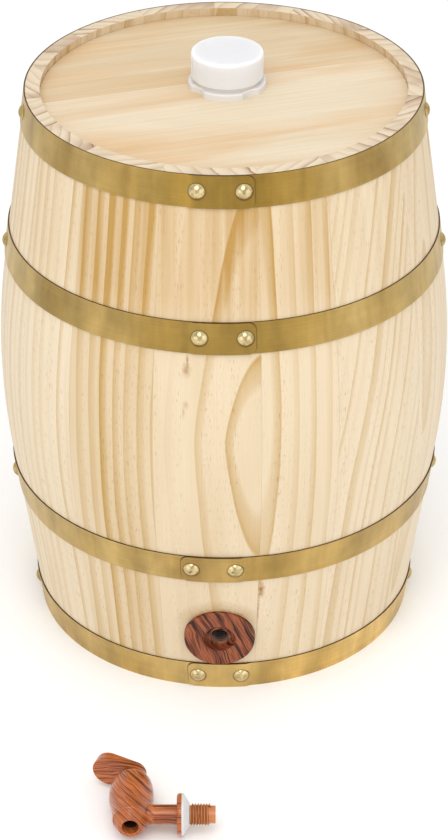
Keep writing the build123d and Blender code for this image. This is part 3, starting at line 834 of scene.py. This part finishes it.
def thread(name, place, axis, turns, root, crest, tap, material):
    """Helical ridge, modelled as a trapezium that is screwed along an axis from the given place."""
    bpy.ops.object.select_all(action="DESELECT")
    bpy.ops.mesh.primitive_plane_add(size=1, location=(0, 0, 0), rotation=(math.pi / 2, 0, 0))
    ridge = bpy.context.object
    ridge.name = name
    bpy.ops.object.transform_apply(location=False, rotation=True, scale=False)
    bpy.ops.object.mode_set(mode="EDIT")
    bpy.ops.mesh.select_mode(type="VERT")
    bpy.ops.mesh.select_all(action="DESELECT")
    bpy.ops.object.mode_set(mode="OBJECT")
    for vertex in ridge.data.vertices:
        vertex.select = vertex.co.z > 0
    bpy.ops.object.mode_set(mode="EDIT")
    bpy.ops.transform.resize(value=(RIDGE_CREST, 1, 1), center_override=(0, 0, 0))
    bpy.ops.mesh.select_all(action="SELECT")
    foot = tap.thread_pitch * RIDGE_FOOT
    bpy.ops.transform.resize(value=(foot, 1, crest - root), center_override=(0, 0, 0))
    bpy.ops.transform.translate(value=(0, 0, (root + crest) / 2))
    bpy.ops.mesh.delete(type="ONLY_FACE")
    bpy.ops.object.mode_set(mode="OBJECT")
    screw = ridge.modifiers.new("screw", "SCREW")
    screw.axis = "X"
    screw.angle = math.tau
    screw.screw_offset = tap.thread_pitch
    screw.iterations = turns
    screw.steps = tap.thread_steps
    screw.render_steps = tap.thread_steps
    bpy.ops.object.modifier_apply(modifier=screw.name)
    bpy.ops.object.mode_set(mode="EDIT")
    bpy.ops.mesh.select_all(action="SELECT")
    bpy.ops.mesh.remove_doubles(threshold=RIDGE_WELD)
    bpy.ops.mesh.select_all(action="DESELECT")
    bpy.ops.mesh.select_non_manifold()
    bpy.ops.mesh.fill_holes(sides=0)
    bpy.ops.mesh.select_all(action="SELECT")
    bpy.ops.mesh.normals_make_consistent(inside=False)
    bpy.ops.object.mode_set(mode="OBJECT")
    bpy.ops.object.shade_smooth_by_angle(angle=math.radians(RIDGE_SMOOTH))
    ridge.location = place
    ridge.rotation_euler = axis.to_track_quat("X", "Z").to_euler()
    bpy.ops.object.transform_apply(location=True, rotation=True, scale=True)
    ridge.data.materials.clear()
    ridge.data.materials.append(material)
    return ridge


class BARREL_OT_staves(bpy.types.Operator):
    """Give every stave its own pine board"""
    bl_idname = "barrel.staves"
    bl_label = "Staves"

    def execute(self, context):
        for number in range(1, STAVE_COUNT + 1):
            node = f"stave_{number:02d}"
            dress(node, stave_pine(node, number, context.scene.barrel_wood))
        return {"FINISHED"}


class BARREL_OT_heads(bpy.types.Operator):
    """Give the boards of both heads their pine"""
    bl_idname = "barrel.heads"
    bl_label = "Heads"

    def execute(self, context):
        for end, turn in HEAD_TURNS.items():
            for board, grain in HEAD_GRAINS.items():
                node = f"{end}_head_{board}"
                dress(node, head_pine(node, grain, math.radians(turn), context.scene.barrel_wood))
        return {"FINISHED"}


class BARREL_OT_hoops(bpy.types.Operator):
    """Finish the brass hoops, rivets and nails"""
    bl_idname = "barrel.hoops"
    bl_label = "Hoops and Rivets"

    def execute(self, context):
        brass = context.scene.barrel_brass
        fasteners = studs("lap_rivets", brass) + studs("hoop_nails", brass)
        for node, hoop in HOOPS.items():
            low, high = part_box(node)
            own = [place for place in fasteners if low[2] < place.z < high[2]]
            dress(node, hoop_brass(node, hoop, own, brass))
        dress("lap_rivets", polished_brass("rivet_brass", brass.rivet))
        dress("hoop_nails", polished_brass("nail_brass", brass.nail))
        return {"FINISHED"}


class BARREL_OT_closure(bpy.types.Operator):
    """Finish the cap, neck, nuts, seals and liner"""
    bl_idname = "barrel.closure"
    bl_label = "Closure and Liner"

    def execute(self, context):
        closure = context.scene.barrel_closure
        glow = {"subsurface_weight": 0.8, "subsurface_radius": (1, 1, 1), "subsurface_scale": 0.008}
        dress("cap", moulded("cap_plastic", closure.cap, 0.5, 900, **glow))
        neck = moulded("neck_plastic", closure.neck, 0.4, 500)
        for node in ("filler_neck", "neck_nut", "socket_nut"):
            dress(node, neck)
        silicone = moulded("silicone", closure.silicone, 0.42, 700, subsurface_weight=0.1)
        for node in ("cap_seal", "socket_gasket", "tap_washer"):
            dress(node, silicone)
        dress("liner_bag", moulded("liner_film", closure.liner, 0.35, 120))
        return {"FINISHED"}


# Streaks of the printed pieces
SOCKET_RUN = Run((0, math.radians(-63), 0), 0.0025, 3)
BELLY_RUN = Run((0, 0, math.radians(56)), 0.0018, 3)
ARM_RUN = Run((0, 0, 0), 0.0018, 2)
LEVER_RUN = Run((0, math.radians(-14), 0), 0.0018, 3)
THREAD_RUN = Run((0, 0, math.radians(90)), 0.004, 4)
# How far from the plug's axis the arm's streaks begin, and how far under the washer the print ends
ARM_START = 0.0105
PRINT_END = 0.001


class BARREL_OT_tap(bpy.types.Operator):
    """Finish the tap and its socket and cut their threads"""
    bl_idname = "barrel.tap"
    bl_label = "Tap and Socket"

    def execute(self, context):
        tap = context.scene.barrel_tap
        rose = (
            (0.14, tap.rose_stripe),
            (0.46, tap.rose_ground),
            (0.72, tap.rose_light),
            (1, tap.rose_ground),
        )
        bore = MOUNTS["socket_thread"]
        reach = bore["dims"]["r_mm"] * MM
        mouth = bore["dims"]["length_mm"] * MM / 2
        # Painted shadow and light inside the socket's bore
        bore_shading = BoreShading(bore["pos_m"], bore["axis"], reach, mouth, tap.bore_shading, tap.bore_mouth_light)
        socket_print = wood_print("socket_print", rose, [SOCKET_RUN], coat=0.15, bore_shading=bore_shading)
        dress("tap_socket", socket_print)
        orange = (
            (0.1, tap.stripe),
            (0.4, tap.ground),
            (0.6, tap.light),
            (0.78, tap.ground),
            (1, tap.stripe),
        )
        spindle = sum(corner[0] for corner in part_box("tap_bonnet")) / 2
        runs = [BELLY_RUN, ARM_RUN._replace(start=spindle + ARM_START)]
        bare = (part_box("tap_washer")[1][0] - PRINT_END, tap.bare)
        body = wood_print("tap_print", orange, runs, bare=bare)
        for node in ("tap_body", "tap_bonnet"):
            dress(node, body)
        dress("tap_lever", wood_print("lever_print", orange, [LEVER_RUN]))
        dress("tap_plug", moulded("plug_plastic", context.scene.barrel_closure.plug, 0.4, 500))
        dress("plug_rings", moulded("ring_rubber", tap.ring, 0.5, 500))
        dress("lever_screw", moulded("screw_steel", tap.screw, 0.3, 600, metallic=1.0))
        spigot = MOUNTS["spigot_thread"]
        root = spigot["dims"]["r_mm"] * MM
        groove_shadow = Groove(spigot["pos_m"][1:], root, tap.thread_crest, tap.groove_shadow)
        plain = ((0, tap.ground), (0.3, tap.light), (0.6, tap.bare), (1, tap.ground))
        thread_print = wood_print("thread_print", plain, [THREAD_RUN], coat=0.1, groove_shadow=groove_shadow)
        self.cut(spigot, "tap", tap, tap.thread_crest, thread_print)
        self.cut(bore, "barrel", tap, reach - tap.thread_depth, socket_print)
        return {"FINISHED"}

    def cut(self, mount, body, tap, crest, material):
        """Thread ridge along a mount, with its crest at the given radius."""
        radius = mount["dims"]["r_mm"] * MM
        root = radius - math.copysign(RIDGE_BITE, crest - radius)
        turns = math.floor(mount["dims"]["length_mm"] * MM / tap.thread_pitch)
        axis = Vector(mount["axis"])
        start = Vector(mount["pos_m"]) - axis * (turns * tap.thread_pitch / 2)
        ridge = thread(mount["name"], start, axis, turns, root, crest, tap, material)
        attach(ridge, body)


# Width and place of each lamp, and what the lamps face, in metres
LAMPS = {
    "key_light": (1.2, (-0.15, -1.05, 1.5)),
    "fill_light": (1.4, (1.1, -1.1, 0.35)),
    "low_light": (1.4, (-1.0, -1.1, 0.12)),
}
LAMP_AIM = Vector((0, 0, 0.17))
# Width of the floor in metres, and repeats per metre and relief of its paper
FLOOR_WIDTH = 8
PAPER_TOOTH = 300
PAPER_RELIEF = 0.00001
# Width of the picture in the camera, in millimetres
SENSOR = 36


class BARREL_OT_stage(bpy.types.Operator):
    """Set out the floor, the light and the camera"""
    bl_idname = "barrel.stage"
    bl_label = "Stage"

    def execute(self, context):
        stage = context.scene.barrel_stage
        bpy.ops.object.select_all(action="DESELECT")
        bpy.ops.mesh.primitive_plane_add(size=FLOOR_WIDTH, location=(0, 0, 0))
        floor = context.object
        floor.name = "studio_floor"
        paper = Recipe("studio_paper", 0.85)
        tooth = paper.noise(paper.place, PAPER_TOOTH, 2)
        floor.data.materials.append(paper.finish(stage.floor, tooth, PAPER_RELIEF))
        world = bpy.data.worlds.new("studio_white")
        world.use_nodes = True
        world.node_tree.nodes["Background"].inputs["Color"].default_value = (1, 1, 1, 1)
        world.node_tree.nodes["Background"].inputs["Strength"].default_value = stage.sky
        context.scene.world = world
        self.lamp("key_light", stage.key_power)
        self.lamp("fill_light", stage.fill_power)
        self.lamp("low_light", stage.low_power)
        look = (math.pi / 2 - stage.camera_pitch, 0, 0)
        bpy.ops.object.camera_add(location=stage.camera_place, rotation=look)
        camera = context.object
        camera.name = "photo_camera"
        camera.data.sensor_fit = "AUTO"
        camera.data.sensor_width = SENSOR
        camera.data.lens = stage.camera_lens
        camera.data.shift_y = stage.camera_shift
        context.scene.camera = camera
        context.scene.view_settings.view_transform = "Standard"
        return {"FINISHED"}

    def lamp(self, name, watts):
        """Round soft light that faces the middle of the barrel."""
        width, place = LAMPS[name]
        bpy.ops.object.light_add(type="AREA", location=place)
        light = bpy.context.object
        light.name = name
        light.data.energy = watts
        light.data.shape = "DISK"
        light.data.size = width
        light.rotation_euler = (LAMP_AIM - Vector(place)).to_track_quat("-Z", "Y").to_euler()


class BARREL_PT_panel(bpy.types.Panel):
    """Lists the barrel's steps and sizes"""
    bl_label = "Pine Barrel"
    bl_idname = "BARREL_PT_panel"
    bl_space_type = "VIEW_3D"
    bl_region_type = "UI"
    bl_category = "Barrel"

    def draw(self, context):
        for group in GROUPS:
            settings = getattr(context.scene, group)
            box = self.layout.box()
            for setting in settings.bl_rna.properties:
                if setting.identifier not in ("name", "rna_type"):
                    box.prop(settings, setting.identifier)
        for step in STEPS:
            self.layout.operator(step.bl_idname)


GROUPS = {
    "barrel_wood": BARREL_PG_wood,
    "barrel_brass": BARREL_PG_brass,
    "barrel_closure": BARREL_PG_closure,
    "barrel_tap": BARREL_PG_tap,
    "barrel_stage": BARREL_PG_stage,
}
STEPS = (
    BARREL_OT_staves,
    BARREL_OT_heads,
    BARREL_OT_hoops,
    BARREL_OT_closure,
    BARREL_OT_tap,
    BARREL_OT_stage,
)


def register():
    for kind in (*GROUPS.values(), *STEPS, BARREL_PT_panel):
        bpy.utils.register_class(kind)
    for name, group in GROUPS.items():
        setattr(bpy.types.Scene, name, PointerProperty(type=group))


def unregister():
    for name in GROUPS:
        delattr(bpy.types.Scene, name)
    for kind in (BARREL_PT_panel, *reversed(STEPS), *reversed(GROUPS.values())):
        bpy.utils.unregister_class(kind)


def main():
    register()
    bpy.ops.barrel.staves()
    bpy.ops.barrel.heads()
    bpy.ops.barrel.hoops()
    bpy.ops.barrel.closure()
    bpy.ops.barrel.tap()
    bpy.ops.barrel.stage()


if __name__ == "__main__":
    main()
